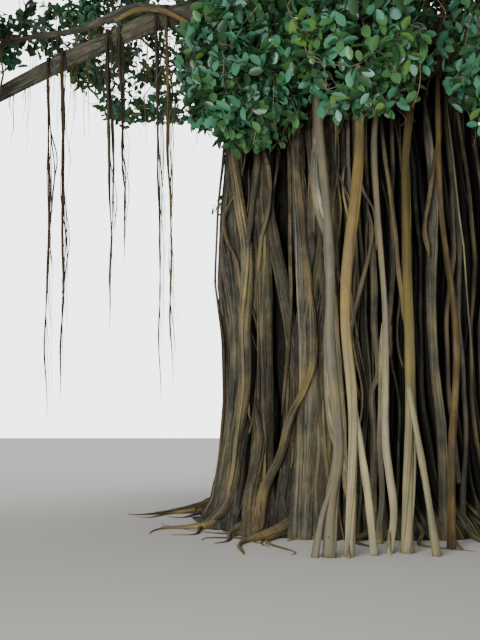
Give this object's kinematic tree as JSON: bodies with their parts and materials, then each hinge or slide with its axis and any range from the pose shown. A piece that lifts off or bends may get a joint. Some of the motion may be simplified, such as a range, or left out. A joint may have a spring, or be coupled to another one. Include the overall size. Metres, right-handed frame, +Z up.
{
  "type": "banyan tree",
  "caption": "Old banyan: broad trunk of fused aerial roots, prop roots round it, arching boughs, free-hanging roots and a wide domed crown of large leaves.",
  "frame": {"origin": "middle of the trunk's flat cut at ground level", "axes": "+Z up along the trunk; -Y towards the viewer of the picture, who stands in front of the prop roots; +X to that viewer's right"},
  "size_m": [22.7126, 23.029, 15.9411],
  "materials": {
    "trunk_bark": "rough grey-brown bark in upright strands",
    "bough_bark": "grey-brown bark, darker near the trunk",
    "prop_root_bark": "smoother pale bark, from straw to grey",
    "hanging_root_bark": "thin brown bark",
    "foliage": "glossy dark green leaves on grey-brown twigs"
  },
  "bodies": {
    "root": {"trunk": "trunk_bark", "bough_back": "bough_bark", "bough_front_left": "bough_bark", "bough_front_right": "bough_bark", "bough_leader": "bough_bark", "bough_left": "bough_bark", "bough_left_back": "bough_bark", "bough_left_side": "bough_bark", "bough_right": "bough_bark", "bough_right_back": "bough_bark", "bough_right_front": "bough_bark", "bough_upper_back_left": "bough_bark", "bough_upper_back_right": "bough_bark", "bough_upper_front_left": "bough_bark", "bough_upper_front_right": "bough_bark", "prop_root_back_a": "prop_root_bark", "prop_root_back_b": "prop_root_bark", "prop_root_grey": "prop_root_bark", "prop_root_leaning": "prop_root_bark", "prop_root_left_back": "prop_root_bark", "prop_root_olive": "prop_root_bark", "prop_root_pale": "prop_root_bark", "prop_root_right": "prop_root_bark", "prop_root_right_back": "prop_root_bark", "prop_root_right_front_a": "prop_root_bark", "prop_root_right_front_b": "prop_root_bark", "prop_root_russet": "prop_root_bark", "hanging_root_a": "hanging_root_bark", "hanging_root_b": "hanging_root_bark", "hanging_root_c": "hanging_root_bark", "hanging_root_d": "hanging_root_bark", "hanging_root_e": "hanging_root_bark", "hanging_root_f": "hanging_root_bark", "foliage_back": "foliage", "foliage_front_left": "foliage", "foliage_front_right": "foliage", "foliage_left": "foliage", "foliage_left_back": "foliage", "foliage_left_side": "foliage", "foliage_right": "foliage", "foliage_right_back": "foliage", "foliage_right_front": "foliage", "foliage_skirt_1": "foliage", "foliage_skirt_2": "foliage", "foliage_skirt_3": "foliage", "foliage_skirt_4": "foliage", "foliage_skirt_5": "foliage", "foliage_skirt_6": "foliage", "foliage_skirt_7": "foliage", "foliage_skirt_8": "foliage", "foliage_top": "foliage", "foliage_upper_back_left": "foliage", "foliage_upper_back_right": "foliage", "foliage_upper_front_left": "foliage", "foliage_upper_front_right": "foliage"}
  },
  "joints": []
}
